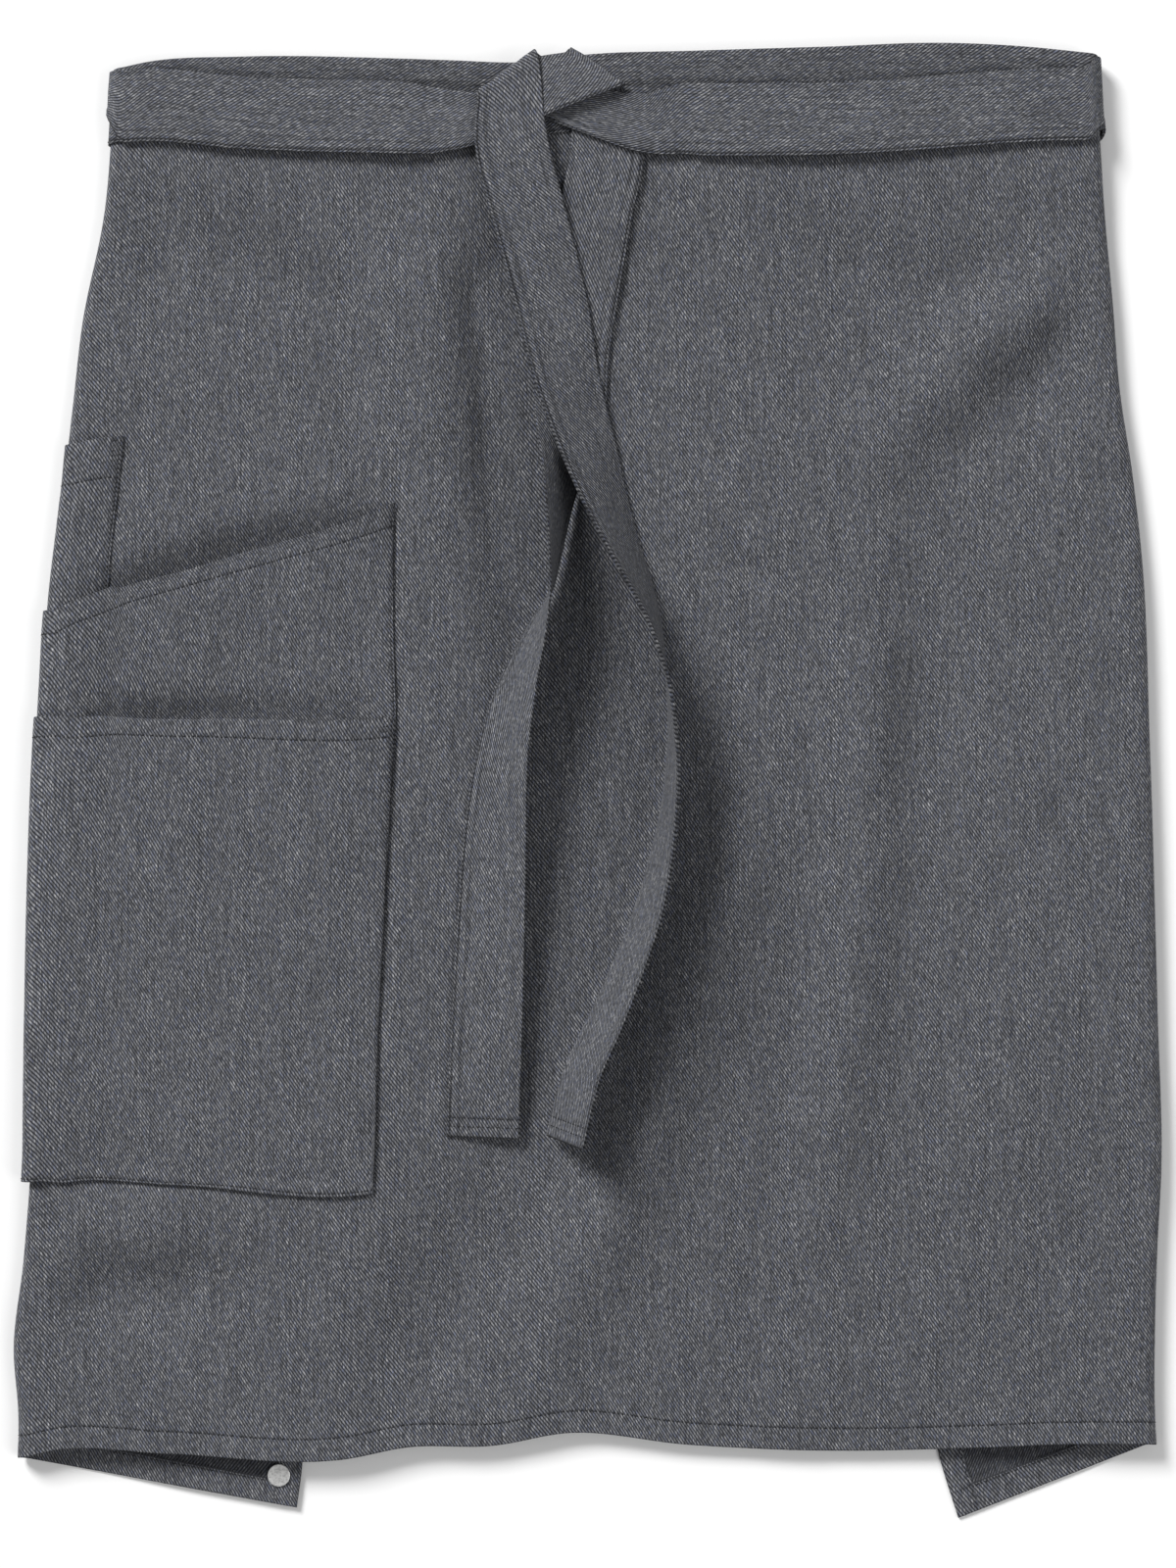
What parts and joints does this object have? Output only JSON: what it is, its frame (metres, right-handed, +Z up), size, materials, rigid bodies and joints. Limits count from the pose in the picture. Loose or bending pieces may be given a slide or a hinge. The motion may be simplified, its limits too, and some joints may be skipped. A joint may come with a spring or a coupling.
{
  "type": "waist apron",
  "caption": "Waist apron of twill lying flat with its front up: wrapped skirt, waistband, hip pockets, ties crossed in a half knot and a press stud.",
  "frame": {"origin": "middle of the apron's outline as it lies, at the surface it lies on", "axes": "+X across the front to the right of the picture, +Y up the front to the waist, +Z up out of the front"},
  "size_m": [0.6448, 0.8289, 0.052],
  "materials": {
    "skirt_twill": "matt grey-blue melange twill",
    "band_twill": "matt grey-blue melange twill",
    "pocket_twill": "matt grey-blue melange twill",
    "tie_twill": "matt grey-blue melange twill",
    "stud_metal": "satin nickel plating, slightly mottled"
  },
  "bodies": {
    "root": {"apron_body": "skirt_twill", "waistband": "band_twill", "pocket_pen": "pocket_twill", "pocket_angled": "pocket_twill", "pocket_large": "pocket_twill", "tie_left": "tie_twill", "tie_right": "tie_twill", "stud_cap": "stud_metal", "stud_socket": "stud_metal"}
  },
  "joints": []
}
